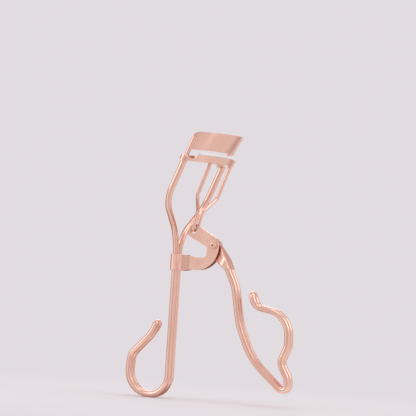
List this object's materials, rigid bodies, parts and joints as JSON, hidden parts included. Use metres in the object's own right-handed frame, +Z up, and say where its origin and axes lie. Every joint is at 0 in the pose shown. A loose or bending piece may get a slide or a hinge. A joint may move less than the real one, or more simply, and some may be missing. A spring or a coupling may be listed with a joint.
{
  "type": "eyelash curler",
  "caption": "Hand-held eyelash curler: doubled-wire finger handles, a riveted lever and a curved lower jaw with a soft pad that slides up to a curved upper jaw.",
  "frame": {"origin": "centre of the underside of the whole tool's bounding box", "axes": "+Z up along the shank towards the jaws, +X from the fixed finger loop towards the moving handle, +Y across the jaws, away from the rivet head"},
  "size_m": [0.0702, 0.0364, 0.1022],
  "materials": {
    "plated_wire": "rose-gold plated steel, polished",
    "plated_sheet": "rose-gold plated steel, satin polished",
    "rivet": "rose-gold plated, polished",
    "pad": "white silicone, satin"
  },
  "bodies": {
    "frame": {"frame_wire": "plated_wire", "shank_bracket": "plated_sheet", "upper_jaw": "plated_sheet", "pivot_rivet": "rivet"},
    "handle": {"lever": "plated_sheet", "handle_wire": "plated_wire"},
    "carriage": {"lower_jaw": "plated_sheet", "pad": "pad", "link_fork": "plated_wire"}
  },
  "joints": [
    {"name": "handle_pivot", "type": "hinge", "parent": "frame", "child": "handle", "pos_m": [-0.00046, 0, 0.05982], "axis": [0, 1, 0], "range_deg": [-28, 4]},
    {"name": "carriage_slide", "type": "slide", "parent": "frame", "child": "carriage", "axis": [0.3891, 0, 0.9212], "range_m": [-0.0054, 0.0008]}
  ],
  "couplings": [
    {"joint": "carriage_slide", "follows": "handle_pivot", "m_per_rad": 0.010903}
  ]
}
